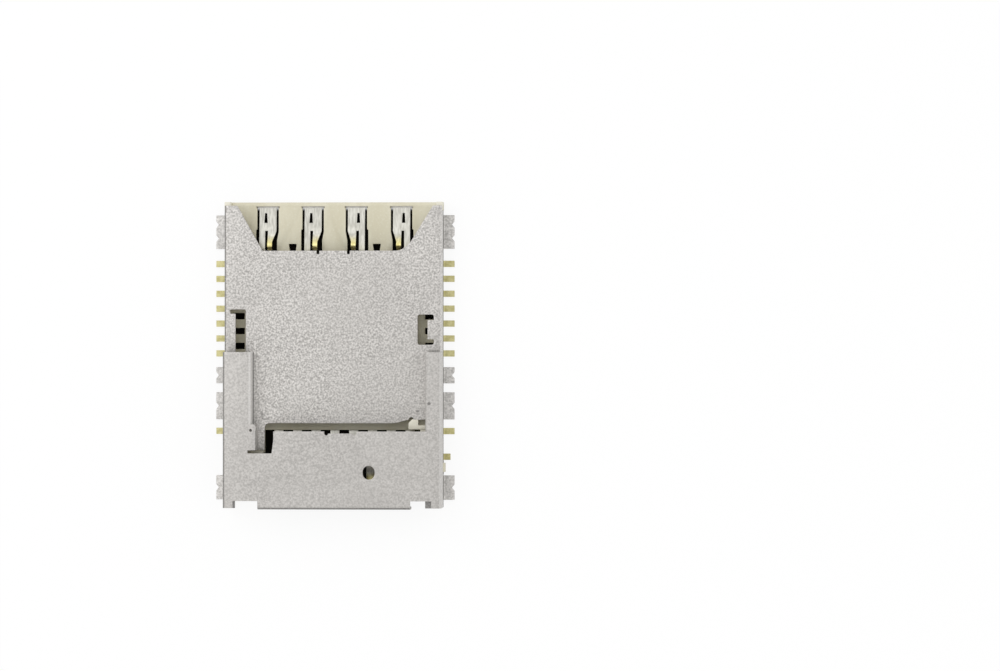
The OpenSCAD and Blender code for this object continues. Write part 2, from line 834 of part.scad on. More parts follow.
module underside_recesses() {
    both_sides() {
        soft_pane([comb_in - 0.2, tail_y(SIDE_TAILS) - 0.1], [comb_out + 0.09, tail_y(1) + 0.04], 0.05);
        pane([2.02, pad_y - 0.9], [3.25, pad_y + 0.14]);
        pane([2.51, small_y - 0.61], [3.55, small_y + 0.31]);
        pane([4.78, mouth - 0.28], [5.67, mouth + over]);
        pane([5.27, mouth - 10.71], [5.47, mouth - 10]);
        pane([5.87, mouth - 11.56], [6.05, mouth - 10.89]);
    }
    pane([-0.38, middle_y - 1.05], [0.38, middle_y + 0.13]);
    // Left leg: a long trough and a step beside it
    pane([bay_left - 1.41, bay_y - 2.81], [bay_left - 0.24, bay_y + 0.55]);
    pane([-base_x - over, bay_y - 1.22], [-base_x + 0.5, bay_y - 0.42]);
    // Right leg: a short recess and a long groove
    pane([bay_right + 0.18, bay_y - 0.48], [bay_right + 0.55, bay_y + 0.43]);
    pane([bay_right + 0.13, bay_y - 3.24], [bay_right + 0.43, bay_y - 0.73]);
}

// Round marks of the mould's pins on the underside, as [x, distance from the mouth]
SIDE_MARKS = [
    [5.59, 1.57], [5.59, 2.27], [3.3, 4.55], [3.3, 5.43], [3.3, 6.29], [1.63, 5.81],
    [2.52, 7.46], [2.52, 9.88], [5.65, 11.2], [5.96, 9.6]
];
// Single marks, as [x, distance from the bay]
SINGLE_MARKS = [[1.12, 2.17], [-3.84, 1.01], [5.62, 1.16]];
module underside_marks() {
    mark_r = 0.09;
    both_sides() for (p = SIDE_MARKS) translate([p[0], mouth - p[1]]) circle(r = mark_r, $fn = 20);
    for (i = [1 : MEM_COUNT])
        translate([mem_x(i), bay_y + (i == 1 || i == MEM_COUNT ? 0.43 : 0.66)])
            circle(r = mark_r, $fn = 20);
    for (p = SINGLE_MARKS) translate([p[0], bay_y + p[1]]) circle(r = mark_r, $fn = 20);
    both_sides() translate([5.03, bay_y + 1.64]) circle(r = 0.22, $fn = 32);
    translate([0.04, mouth - 5.85]) circle(r = 0.26, $fn = 32);
    for (x = [-0.59, 1.78]) translate([x, bay_y + 1.39]) circle(r = 0.2, $fn = 32);
}

module base_housing() {
    recess = 0.1;
    mark_depth = 0.03;
    lead_in = 0.16;
    tail_notch = 0.34; // half length of the notch under the detect switch's tail
    color([0.86, 0.83, 0.72])
        difference() {
            union() {
                along_z(0, floor_t) floor_outline();
                both_sides() {
                    block([rail_x, sim_stop_y - cut, 0], [base_x, post_y + cut, low_under]);
                    block([rail_x, post_y, 0], [wall_x, mouth, low_under]);
                    nub();
                }
                legs();
                key_block();
            }
            along_z(-cut, floor_t + cut) {
                for (i = [1 : SIM_COUNT]) sim_window(i);
                both_sides() {
                    comb_windows();
                    side_holes();
                }
                pane([-0.21, middle_y - 0.82], [0.21, middle_y]);
            }
            along_z(strip_z + strip_t, floor_t + cut)
                for (i = [1 : SIM_COUNT]) root_pocket(i);
            along_z(-cut, strip_z)
                for (i = [1 : SIM_COUNT]) window_recess(i);
            along_z(-cut, recess) underside_recesses();
            along_z(-cut, mark_depth) underside_marks();
            // Lead-in chamfer along the mouth, between the corner posts
            along_x(-rail_x, rail_x)
                polygon([
                    [mouth + cut, floor_t - lead_in - cut], [mouth + cut, floor_t + cut],
                    [mouth - lead_in - cut, floor_t + cut]
                ]);
            // Open notch under the detect switch's tail
            block([base_x - tail_notch, detect_tail_y - tail_notch, -cut],
                [wall_x + over, detect_tail_y + tail_notch, strip_z]);
            for (i = [1 : SIM_COUNT]) sim_terminal(i);
            for (i = [1 : MEM_COUNT]) memory_terminal(i);
            detect_terminal();
        }
}

shell();
base_housing();
for (i = [1 : SIM_COUNT]) {
    sim_spring(i);
    sim_terminal(i);
}
for (i = [1 : MEM_COUNT]) {
    memory_spring(i);
    memory_terminal(i);
}
detect_spring();
detect_terminal();
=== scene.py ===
import json
from math import radians

import bmesh
import bpy
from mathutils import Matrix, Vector

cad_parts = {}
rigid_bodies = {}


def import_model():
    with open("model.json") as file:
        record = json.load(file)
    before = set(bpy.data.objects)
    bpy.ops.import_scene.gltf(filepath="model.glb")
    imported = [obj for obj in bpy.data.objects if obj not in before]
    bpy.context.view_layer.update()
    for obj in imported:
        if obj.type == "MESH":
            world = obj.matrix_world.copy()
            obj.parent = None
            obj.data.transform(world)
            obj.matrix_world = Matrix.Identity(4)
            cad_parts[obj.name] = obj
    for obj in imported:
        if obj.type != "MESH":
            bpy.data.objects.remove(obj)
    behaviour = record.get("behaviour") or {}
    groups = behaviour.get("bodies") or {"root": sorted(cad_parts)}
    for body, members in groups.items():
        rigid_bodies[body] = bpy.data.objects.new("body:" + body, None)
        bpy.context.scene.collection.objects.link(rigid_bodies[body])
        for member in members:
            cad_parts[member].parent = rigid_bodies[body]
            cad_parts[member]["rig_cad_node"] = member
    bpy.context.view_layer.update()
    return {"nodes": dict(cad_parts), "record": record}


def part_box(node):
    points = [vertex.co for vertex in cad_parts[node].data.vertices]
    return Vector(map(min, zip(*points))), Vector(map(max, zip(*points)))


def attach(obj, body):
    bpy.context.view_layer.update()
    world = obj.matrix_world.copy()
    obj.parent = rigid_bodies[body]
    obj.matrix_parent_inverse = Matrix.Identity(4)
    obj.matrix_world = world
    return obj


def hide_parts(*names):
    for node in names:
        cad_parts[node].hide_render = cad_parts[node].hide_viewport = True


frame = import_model()
# A millimetre in the frame's metres. The sizes and places below are in millimetres.
MM = 0.001
# Corners closer than this are one corner, and edges that turn more than this are sharp
SAME_PLACE = 0.0001
SHARP_TURN = radians(28)
# Thickness of the contact strip and the radius of its coined edges
STRIP = 0.1
COINED_RADIUS = 0.018
# The shell's sheet: its thickness, the tops of its low and raised plates, its side walls
SHEET = 0.15
LOW_TOP, HIGH_TOP = 1.45, 2.35
WALL = 6.25
BODY_OF = {
    node: body
    for body, members in frame["record"]["behaviour"]["bodies"].items()
    for node in members
}


def mm(*values):
    """A place or size given in millimetres."""
    return Vector(values) * MM


# Finishes

def start_finish(name):
    """A new material, its shader and the piece's own coordinates."""
    material = bpy.data.materials.new(name)
    material.use_nodes = True
    tree = material.node_tree
    place = tree.nodes.new("ShaderNodeTexCoord").outputs["Object"]
    return material, tree, tree.nodes["Principled BSDF"], place


def grain(tree, place, size_mm, detail=2.0, stretch=(1, 1, 1)):
    """Noise whose grains are about size_mm across, drawn out by stretch."""
    mapping = tree.nodes.new("ShaderNodeMapping")
    mapping.inputs["Scale"].default_value = stretch
    noise = tree.nodes.new("ShaderNodeTexNoise")
    noise.inputs["Scale"].default_value = 1 / (size_mm * MM)
    noise.inputs["Detail"].default_value = detail
    tree.links.new(place, mapping.inputs["Vector"])
    tree.links.new(mapping.outputs["Vector"], noise.inputs["Vector"])
    return noise.outputs["Fac"]


def graded(tree, value, start, end, low=0.0, high=1.0):
    """The value as it runs from start to end, turned into low to high."""
    node = tree.nodes.new("ShaderNodeMapRange")
    node.interpolation_type = "SMOOTHSTEP"
    tree.links.new(value, node.inputs["Value"])
    for name, number in (("From Min", start), ("From Max", end), ("To Min", low), ("To Max", high)):
        node.inputs[name].default_value = number
    return node.outputs["Result"]


def spread(tree, noise, low=0.0, high=1.0):
    """Noise, which keeps to about 0.3 to 0.7, spread out from low to high."""
    return graded(tree, noise, 0.3, 0.7, low, high)


def maths(tree, operation, a, b):
    """A sum, product or the like of a value and a value or number."""
    node = tree.nodes.new("ShaderNodeMath")
    node.operation = operation
    for socket, item in zip(node.inputs, (a, b)):
        if isinstance(item, (int, float)):
            socket.default_value = item
        else:
            tree.links.new(item, socket)
    return node.outputs["Value"]


def mixed(tree, share, first, second):
    """A colour between two, where each is a colour or another node's output."""
    node = tree.nodes.new("ShaderNodeMix")
    node.data_type = "RGBA"
    tree.links.new(share, node.inputs["Factor"])
    for socket, colour in zip((node.inputs["A"], node.inputs["B"]), (first, second)):
        if isinstance(colour, tuple):
            socket.default_value = (*colour, 1)
        else:
            tree.links.new(colour, socket)
    return node.outputs["Result"]


def coordinate(tree, place, axis):
    """One coordinate of the piece, in millimetres."""
    split = tree.nodes.new("ShaderNodeSeparateXYZ")
    tree.links.new(place, split.inputs["Vector"])
    return maths(tree, "MULTIPLY", split.outputs[axis], 1 / MM)


def distance_to(tree, place, axis, line):
    """How far a coordinate of the piece lies from a line, in millimetres."""
    offset = maths(tree, "SUBTRACT", coordinate(tree, place, axis), line)
    return maths(tree, "ABSOLUTE", offset, 0)


def raise_grain(tree, shader, height, depth_mm, strength):
    """Relief of the surface from a height between 0 and 1."""
    bump = tree.nodes.new("ShaderNodeBump")
    bump.inputs["Strength"].default_value = strength
    bump.inputs["Distance"].default_value = depth_mm * MM
    tree.links.new(height, bump.inputs["Height"])
    tree.links.new(bump.outputs["Normal"], shader.inputs["Normal"])


def shell_steel(name, level=1.0, foot=3.0, rubbed_and_painted_light=0.0):
    """Matt plated sheet: light warm grey, with the fine uneven grain of the plating and painted
    glints, a little darker on the raised plate. Painted shade darkens it towards the right and
    painted light makes the left flange and the tabs paler. On walls in painted shade the level
    is the share of that grey which is left below the foot, a height in mm, and the last argument
    is how much paler painted light makes the bend above it."""
    material, tree, shader, place = start_finish(name)
    fine = grain(tree, place, 0.105, 3.0)
    specks = grain(tree, place, 0.42, 1.0)
    glints = grain(tree, place, 0.16, 1.0)
    broad = grain(tree, place, 3.0, 1.0)
    dark, bright, even = (0.33, 0.317, 0.3), (0.76, 0.735, 0.705), (0.53, 0.51, 0.487)
    # The first of these is the pale tone of the painted light, the second the painted shade.
    painted_light_tone, shade = (0.93, 0.915, 0.89), (0.02, 0.02, 0.018)
    low, high = LOW_TOP + 0.05, HIGH_TOP - 0.05
    coarse = mixed(tree, graded(tree, fine, 0.27, 0.73), dark, bright)
    height = coordinate(tree, place, "Z")
    mottled = mixed(tree, graded(tree, height, low, high, 0, 0.4), coarse, even)
    clouded = mixed(tree, graded(tree, broad, 0.35, 0.65, 0, 0.25), mottled, even)
    glinting = mixed(tree, graded(tree, glints, 0.68, 0.76, 0, 0.5), clouded, bright)
    pitted = mixed(tree, graded(tree, specks, 0.74, 0.8, 0, 0.5), glinting, dark)
    side = coordinate(tree, place, "X")
    # A little darker on the raised plate.
    darker_when_raised = mixed(tree, graded(tree, height, low, high, 0, 0.22), pitted, dark)
    # Painted shade: the sheet grows darker towards the right, away from the light.
    painted_shade_to_right = mixed(tree, graded(tree, side, -7, 7, 0, 0.14), darker_when_raised, dark)
    # Painted light: the left flange is paler, towards the light.
    paler = mixed(tree, graded(tree, side, -6.2, -4.5, 0.12, 0), painted_shade_to_right, bright)
    # Painted light: the tabs low down are paler, and higher up the last argument sets how much
    # paler, which lightens the bends above the walls' painted shade.
    painted_light_on_tabs_and_bends = mixed(tree, graded(tree, height, 0.15, 0.3, 0.2, rubbed_and_painted_light), paler, painted_light_tone)
    # Painted shade: below the foot, faces keep only the level's share of the grey.
    drawn = mixed(tree, graded(tree, height, foot - 0.1, foot + 0.1, 1 - level, 0), painted_light_on_tabs_and_bends, shade)
    tree.links.new(drawn, shader.inputs["Base Color"])
    tree.links.new(graded(tree, fine, 0.25, 0.75, 0.66, 0.46), shader.inputs["Roughness"])
    raise_grain(tree, shader, fine, 0.018, 0.5)
    shader.inputs["Metallic"].default_value = 0.3
    return material


def sheared_edge():
    """Bare cut face of the sheet, in rough torn streaks. Its dark grey is partly the bare steel
    and partly painted shade, which draws the cut edges as dark lines.
    """
    material, tree, shader, place = start_finish("sheared_edge")
    torn = grain(tree, place, 0.05, 2.0, (1, 1, 0.2))
    colour = mixed(tree, spread(tree, torn), (0.3, 0.28, 0.24), (0.5, 0.475, 0.43))
    tree.links.new(colour, shader.inputs["Base Color"])
    tree.links.new(spread(tree, torn, 0.38, 0.6), shader.inputs["Roughness"])
    raise_grain(tree, shader, torn, 0.006, 0.5)
    shader.inputs["Metallic"].default_value = 0.9
    return material


def coined_edge():
    """Burnished rim of the contact strip, brighter than its faces."""
    material, tree, shader, place = start_finish("coined_edge")
    rubbed_and_painted_light = grain(tree, place, 0.06, 2.0, (1, 0.3, 1))
    colour = mixed(tree, spread(tree, rubbed_and_painted_light), (0.62, 0.6, 0.54), (0.82, 0.8, 0.74))
    tree.links.new(colour, shader.inputs["Base Color"])
    tree.links.new(spread(tree, rubbed_and_painted_light, 0.22, 0.36), shader.inputs["Roughness"])
    raise_grain(tree, shader, rubbed_and_painted_light, 0.003, 0.4)
    shader.inputs["Metallic"].default_value = 1.0
    return material


def cream_plastic():
    """Moulded cream plastic with faint flow streaks and a dull skin, and painted light that makes
    its upper parts paler.
    """
    material, tree, shader, place = start_finish("cream_plastic")
    streaks = grain(tree, place, 0.9, 3.0, (1, 0.25, 1))
    speckle = grain(tree, place, 0.12, 2.0)
    base = mixed(tree, graded(tree, streaks, 0.35, 0.65), (0.62, 0.58, 0.435), (0.67, 0.635, 0.495))
    colour = mixed(tree, graded(tree, speckle, 0.5, 0.75, 0, 0.35), base, (0.74, 0.72, 0.61))
    height = coordinate(tree, place, "Z")
    # Painted light: paler higher up, where more light falls.
    painted_light_up_high = mixed(tree, graded(tree, height, 0.7, 1.2, 0, 0.5), colour, (0.86, 0.84, 0.76))
    tree.links.new(painted_light_up_high, shader.inputs["Base Color"])
    tree.links.new(spread(tree, speckle, 0.4, 0.55), shader.inputs["Roughness"])
    raise_grain(tree, shader, speckle, 0.008, 0.4)
    return material


def contact_alloy(name, gold_from, gold_to):
    """Bright nickel-plated strip whose contact crest, above a height in mm, is gold-plated."""
    material, tree, shader, place = start_finish(name)
    rolled = grain(tree, place, 0.1, 2.0, (1, 0.15, 1))
    nickel = mixed(tree, spread(tree, rolled), (0.487, 0.475, 0.425), (0.657, 0.645, 0.588))
    gold = mixed(tree, spread(tree, rolled), (0.76, 0.66, 0.27), (0.9, 0.82, 0.42))
    height = coordinate(tree, place, "Z")
    tree.links.new(mixed(tree, graded(tree, height, gold_from, gold_to), nickel, gold),
                   shader.inputs["Base Color"])
    tree.links.new(spread(tree, rolled, 0.28, 0.42), shader.inputs["Roughness"])
    raise_grain(tree, shader, rolled, 0.004, 0.4)
    shader.inputs["Metallic"].default_value = 1.0
    return material


def plated_tail(name, dull, bright):
    """Solder tail with a gold flash between two colours. Inside the walls the strip is nickel."""
    material, tree, shader, place = start_finish(name)
    cloud = grain(tree, place, 0.25, 2.0)
    nickel = mixed(tree, spread(tree, cloud), (0.42, 0.405, 0.375), (0.58, 0.565, 0.53))
    flash = mixed(tree, spread(tree, cloud), dull, bright)
    in_the_open = graded(tree, distance_to(tree, place, "X", 0), 6.05, 6.2)
    tree.links.new(mixed(tree, in_the_open, nickel, flash), shader.inputs["Base Color"])
    tree.links.new(spread(tree, cloud, 0.32, 0.5), shader.inputs["Roughness"])
    raise_grain(tree, shader, cloud, 0.006, 0.4)
    shader.inputs["Metallic"].default_value = 0.9
    return material


SHELL_STEEL = shell_steel("shell_steel")
# Copies of the shell's steel with painted shade: all over for the outer bends, the lugs and the
# floors of the die's marks, and below the feet of the right wall and the left step, whose bends
# above get painted light.
PAINTED_SHADE_STEEL = shell_steel("painted_shade_steel", 0.45)
WALL_FOOT_STEEL = shell_steel("wall_foot_steel", 0.35, 0.9, 0.25)
STEP_FOOT_STEEL = shell_steel("step_foot_steel", 0.25, 1.62, 0.35)
SHEARED_EDGE = sheared_edge()
COINED_EDGE = coined_edge()
CREAM_PLASTIC = cream_plastic()
SIM_ALLOY = contact_alloy("sim_contact_alloy", 0.5, 0.92)
MEMORY_ALLOY = contact_alloy("memory_contact_alloy", 1.3, 1.52)
DETECT_ALLOY = contact_alloy("detect_contact_alloy", 1.85, 1.98)
PALE_TAIL = plated_tail("pale_tail", (0.45, 0.41, 0.19), (0.62, 0.575, 0.31))
OLIVE_TAIL = plated_tail("olive_tail", (0.38, 0.34, 0.15), (0.54, 0.49, 0.24))


# Bench tools: one piece at a time, in edit mode

def open_piece(piece):
    """Puts one piece in edit mode, with nothing selected."""
    bpy.ops.object.select_all(action="DESELECT")
    piece.select_set(True)
    bpy.context.view_layer.objects.active = piece
    bpy.ops.object.mode_set(mode="EDIT")
    bpy.ops.mesh.select_all(action="DESELECT")


def close_piece():
    bpy.ops.object.mode_set(mode="OBJECT")


def pick(kind, wanted):
    """Selects the vertices, edges or faces whose middle, in mm, is wanted."""
    bpy.ops.mesh.select_mode(type=kind)
    bpy.ops.mesh.select_all(action="DESELECT")
    mesh = bmesh.from_edit_mesh(bpy.context.object.data)
    items = {"VERT": mesh.verts, "EDGE": mesh.edges, "FACE": mesh.faces}[kind]
    for item in items:
        corners = [item] if kind == "VERT" else item.verts
        if wanted(sum((corner.co for corner in corners), Vector()) / len(corners)):
            item.select_set(True)
    mesh.select_flush_mode()


def paint_faces(index, wanted):
    """Gives the faces that are wanted, by their middle and normal, the finish of that number."""
    mesh = bmesh.from_edit_mesh(bpy.context.object.data)
    for face in mesh.faces:
        if wanted(face.calc_center_median(), face.normal):
            face.material_index = index


def apply_modifier(piece, kind, **settings):
    """Adds a modifier with these settings and applies it."""
    modifier = piece.modifiers.new(kind.lower(), kind)
    for name, value in settings.items():
        setattr(modifier, name, value)
    bpy.context.view_layer.objects.active = piece
    bpy.ops.object.modifier_apply(modifier=modifier.name)


def give_slots(piece, count):
    """Makes sure that the piece has a finish slot for each number below the count."""
    while len(piece.data.materials) < count:
        piece.data.materials.append(None)


def stand_in(piece, node, slot, *materials):
    """The finished piece, in metres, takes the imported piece's place and body."""
    open_piece(piece)
    bpy.ops.mesh.select_all(action="SELECT")
    bpy.ops.transform.resize(value=(MM, MM, MM), center_override=(0, 0, 0))
    close_piece()
    bpy.ops.object.shade_smooth_by_angle(angle=SHARP_TURN)
    give_slots(piece, len(materials))
    for index, material in enumerate(materials):
        piece.data.materials[index] = material
    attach(piece, BODY_OF[node])
    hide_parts(node)


# Shell and housing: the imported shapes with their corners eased

def eased_copy(node, name, easing):
    """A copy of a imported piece, in mm, whose sharp corners are rounded by easing."""
    packed = frame["nodes"][node]
    bpy.ops.object.select_all(action="DESELECT")
    packed.select_set(True)
    bpy.context.view_layer.objects.active = packed
    bpy.ops.object.duplicate(linked=False)
    piece = bpy.context.object
    piece.name = name
    del piece["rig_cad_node"]
    bpy.ops.mesh.customdata_custom_splitnormals_clear()
    open_piece(piece)
    bpy.ops.mesh.select_mode(type="EDGE")
    bpy.ops.mesh.select_all(action="SELECT")
    bpy.ops.transform.resize(value=(1 / MM, 1 / MM, 1 / MM), center_override=(0, 0, 0))
    bpy.ops.mesh.remove_doubles(threshold=SAME_PLACE)
    bpy.ops.mesh.mark_sharp(clear=True)
    bpy.ops.mesh.dissolve_limited(angle_limit=radians(1))
    bpy.ops.mesh.select_all(action="DESELECT")
    bpy.ops.mesh.edges_select_sharp(sharpness=SHARP_TURN)
    leave_fine_corners(easing)
    bpy.ops.mesh.bevel(offset=easing, segments=2, affect="EDGES", clamp_overlap=False)
    return piece


def leave_fine_corners(easing):
    """Takes edges at corners that are too fine to be rounded out of the selection."""
    least_length = easing * 0.7
    mesh = bmesh.from_edit_mesh(bpy.context.object.data)
    fine = {
        corner for corner in mesh.verts
        if min(edge.calc_length() for edge in corner.link_edges) < least_length
    }
    for edge in mesh.edges:
        if edge.select and (edge.verts[0] in fine or edge.verts[1] in fine):
            edge.select_set(False)


# Marks of the die in the top of the sheet: place across and along, height of the sheet's top,
# width and length
HAIRLINES = ((-4.156, -3.42, LOW_TOP, 0.045, 0.4), (-4.11, -3.66, LOW_TOP, 0.07, 0.07),
             (-3.91, -3.71, LOW_TOP, 0.34, 0.045))
DIMPLES = ((5.66, -2.79, HIGH_TOP, 0.2, 0.18), (4.95, -3.24, LOW_TOP, 0.18, 0.11))
MARK_DEPTH = 0.02


def press_marks(piece):
    """Sinks the hairlines and dimples of the die into the sheet, with a tool of their shape. Its
    parts overlap, which only the manifold solver takes: another can leave an empty mesh."""
    bpy.ops.object.select_all(action="DESELECT")
    bpy.ops.mesh.primitive_cube_add(size=1)
    tool = bpy.context.object
    open_piece(tool)
    bpy.ops.mesh.select_all(action="SELECT")
    bpy.ops.mesh.delete(type="VERT")
    for mark in HAIRLINES + DIMPLES:
        x, y, top, width, length = mark
        if mark in DIMPLES:
            bpy.ops.mesh.primitive_cylinder_add(vertices=16, radius=0.5, depth=1)
        else:
            bpy.ops.mesh.primitive_cube_add(size=1)
        size = (width, length, 2 * MARK_DEPTH)
        bpy.ops.transform.resize(value=size, center_override=(0, 0, 0))
        bpy.ops.transform.translate(value=(x, y, top))
    close_piece()
    faces_before = len(piece.data.polygons)
    apply_modifier(piece, "BOOLEAN", object=tool, operation="DIFFERENCE", solver="MANIFOLD")
    bpy.data.objects.remove(tool)
    if len(piece.data.polygons) <= faces_before:
        raise RuntimeError("the die's marks were not cut, or the sheet was lost")


def finished_shell():
    """The folded sheet, with burnished corners, bare cut faces and the marks of the die. Corners
    that the easing lifts past the top of the sheet are brought back to it."""
    piece = eased_copy("shell", "folded_shell", 0.014)
    pick("VERT", lambda place: place.z > HIGH_TOP)
    bpy.ops.transform.resize(value=(1, 1, 0), center_override=(0, 0, HIGH_TOP))
    close_piece()
    press_marks(piece)
    open_piece(piece)
    # Cut faces, whose dark grey is partly painted shade, then painted shade on the left and back
    # bends, the lugs and the floors of the marks, and painted shade and light on the right wall and
    # the left step.
    paint_faces(1, is_cut_face)
    paint_faces(2, is_in_painted_shade)
    paint_faces(3, is_right_wall)
    paint_faces(4, is_left_step)
    close_piece()
    stand_in(piece, "shell", "shell_steel", SHELL_STEEL, SHEARED_EDGE, PAINTED_SHADE_STEEL,
             WALL_FOOT_STEEL, STEP_FOOT_STEEL)


def is_cut_face(middle, normal):
    """The die's cut through either plate, and the lower rims."""
    in_plate = any(top - SHEET + 0.01 < middle.z < top - 0.01 for top in (LOW_TOP, HIGH_TOP))
    through = abs(normal.z) < 0.3 and in_plate and abs(middle.x) < WALL - 0.05
    rim = normal.z < -0.7 and 0.2 < middle.z < 0.5
    return through or rim


def is_wall(middle, normal, side):
    """The outside of the bend and the wall on the left, -1, or the right, 1."""
    return side * middle.x > WALL and abs(normal.x) > 0.45 and middle.z > 0.5


def is_in_painted_shade(middle, normal):
    """Faces painted in shade: the outside of the left and back bends, the lugs set down at the
    back, and the floors of the die's marks."""
    back = normal.y < -0.45 and middle.y < -8.8
    lug = 5.4 < abs(middle.x) < 5.79 and middle.y < -8.4 and middle.z < 2.3
    under_top = min(abs(middle.z - top + MARK_DEPTH) for top in (LOW_TOP, HIGH_TOP))
    mark = normal.z > 0.99 and under_top < 0.002
    return is_wall(middle, normal, -1) or back or lug or mark


def is_right_wall(middle, normal):
    return is_wall(middle, normal, 1)


def is_left_step(middle, normal):
    """The step from the left flange down to the low plate."""
    on_step = LOW_TOP + 0.01 < middle.z < HIGH_TOP - 0.01
    return normal.x > 0.3 and on_step and -5.4 < middle.x < -4.5


def finished_housing():
    """The moulding, with the small radius that every moulded corner has."""
    piece = eased_copy("base_housing", "moulded_housing", 0.02)
    close_piece()
    stand_in(piece, "base_housing", "cream_plastic", CREAM_PLASTIC)


# Contacts: each kind is stamped once from a flat blank and copied

def ruled_blank(name, across, along):
    """A flat blank from the first to the last of these lines, ruled with the others."""
    bpy.ops.object.select_all(action="DESELECT")
    bpy.ops.mesh.primitive_plane_add(size=1)
    blank = bpy.context.object
    blank.name = name
    open_piece(blank)
    bpy.ops.mesh.select_all(action="SELECT")
    width, length = across[-1] - across[0], along[-1] - along[0]
    bpy.ops.transform.resize(value=(width, length, 1), center_override=(0, 0, 0))
    middle = ((across[-1] + across[0]) / 2, (along[-1] + along[0]) / 2, 0)
    bpy.ops.transform.translate(value=middle)
    for x in across[1:-1]:
        rule_line((x, 0, 0), (1, 0, 0))
    for y in along[1:-1]:
        rule_line((0, y, 0), (0, 1, 0))
    return blank


def rule_line(through, facing):
    """Cuts the whole blank along a line, and keeps both sides."""
    bpy.ops.mesh.select_all(action="SELECT")
    bpy.ops.mesh.bisect(plane_co=through, plane_no=facing, threshold=0.00001)


def punch_out(wanted):
    """Removes the faces of the blank that the die cuts away."""
    pick("FACE", wanted)
    bpy.ops.mesh.delete(type="FACE")


def slide(wanted, x=0.0, y=0.0, z=0.0):
    """Moves the vertices that are wanted."""
    pick("VERT", wanted)
    bpy.ops.transform.translate(value=(x, y, z))


def near(value, line):
    return abs(value - line) < 0.002


def share_past(reach, start, length):
    """0 up to a start, then rising evenly to 1 over a length."""
    return min(max(reach - start, 0) / length, 1)


def bend_to(axis, root, reaches, profile, wanted=lambda place: True):
    """Lifts every ruled line of the blank to its height on the profile. The blade runs back
    along the axis from its root, and each line is given by its reach from there."""
    for reach in reaches:
        height = profile_height(profile, reach)
        slide(lambda place: near(place[axis], root - reach) and wanted(place), z=height)


def profile_height(profile, line):
    """Height at a line, with the profile's corners smoothed over a short reach."""
    reach = 0.06
    return (
        height_between(profile, line - reach)
        + 2 * height_between(profile, line)
        + height_between(profile, line + reach)
    ) / 4


def height_between(profile, line):
    """Straight runs between the profile's points, level past its ends."""
    line = min(max(line, profile[0][0]), profile[-1][0])
    for (start, low), (end, high) in zip(profile, profile[1:]):
        if line <= end:
            return low + (high - low) * (line - start) / (end - start)


def give_strip(piece, edge_radius):
    """Turns the bent blank into strip of its thickness, with coined edges."""
    close_piece()
    give_slots(piece, 2)
    apply_modifier(piece, "SOLIDIFY", thickness=STRIP, offset=0, use_even_offset=True,
                   material_offset_rim=1)
    apply_modifier(piece, "BEVEL", width=edge_radius, segments=3, limit_method="ANGLE",
                   angle_limit=radians(40), use_clamp_overlap=True)


def round_corners(radius, *corners):
    """Rounds these corners of the blank, each given by its place across and along."""
    pick("VERT", lambda place: any(near(place.x, x) and near(place.y, y) for x, y in corners))
    bpy.ops.mesh.bevel(offset=radius, segments=3, affect="VERTICES")


# Forked blade: lines across it, and reaches from its root to its features and ruled lines
LEFT_EDGE, HOLE_LEFT, ARM_EDGE = -0.5, -0.2, -0.16
HOLE_RIGHT, TONGUE_EDGE, RIGHT_EDGE = -0.04, 0.005, 0.5
HOLE_START, HOLE_END, FORK, TONGUE_END, ARM_END = 0.3, 0.88, 1.34, 2.47, 2.69
SIM_REACHES = (0, HOLE_START, HOLE_END, 1.1, 1.22, FORK, 1.47, 1.6, 1.8, 2.0, 2.08, 2.14, 2.2, 2.26,
               2.32, 2.4, TONGUE_END, 2.59, ARM_END)
# Reach and height of each corner in the side view
PLATE_PROFILE = ((0, 0.25), (2.39, 0.543), (2.69, 0.533))
TONGUE_PROFILE = ((0, 0.25), (1.14, 0.39), (1.54, 0.469), (2.2, 0.89), (2.47, 0.71))


def is_arm(place):
    """The plate and the arm, as against the tongue past the fork."""
    return place.x < -0.1 or place.y > 0.005 - FORK


def forked_blade():
    """Lower contact for the left side, with its root at the origin: a plate with a drop-shaped
    hole, then a long straight arm and, beside it, a shorter tongue that rises and curls."""
    lines = (LEFT_EDGE, HOLE_LEFT, ARM_EDGE, HOLE_RIGHT, TONGUE_EDGE, RIGHT_EDGE)
    blade = ruled_blank("forked_blade", lines, [-reach for reach in reversed(SIM_REACHES)])
    punch_out(lambda place: ARM_EDGE < place.x < TONGUE_EDGE and place.y < -FORK)
    punch_out(lambda place: place.x > TONGUE_EDGE and place.y < -TONGUE_END)
    punch_out(lambda place: HOLE_LEFT < place.x < HOLE_RIGHT and -HOLE_END < place.y < -HOLE_START)
    drop_shape = ((HOLE_LEFT, HOLE_START, 0.015), (HOLE_RIGHT, HOLE_START, -0.015),
                  (HOLE_LEFT, HOLE_END, -0.02), (HOLE_RIGHT, HOLE_END, 0.02))
    for x, reach, shift in drop_shape:
        slide(lambda place: near(place.x, x) and near(place.y, -reach), x=shift)
    narrowing = 0.22
    for reach in SIM_REACHES:
        taper = share_past(reach, 1.36, 0.64) * narrowing
        slide(lambda place: near(place.x, RIGHT_EDGE) and near(place.y, -reach), x=-taper)
    bend_to(1, 0, SIM_REACHES, PLATE_PROFILE, is_arm)
    bend_to(1, 0, SIM_REACHES, TONGUE_PROFILE, lambda place: not is_arm(place))
    round_corners(0.06, (TONGUE_EDGE, -TONGUE_END), (RIGHT_EDGE - narrowing, -TONGUE_END),
                  (ARM_EDGE, -ARM_END))
    round_corners(0.1, (LEFT_EDGE, -ARM_END))
    give_strip(blade, COINED_RADIUS)
    return blade


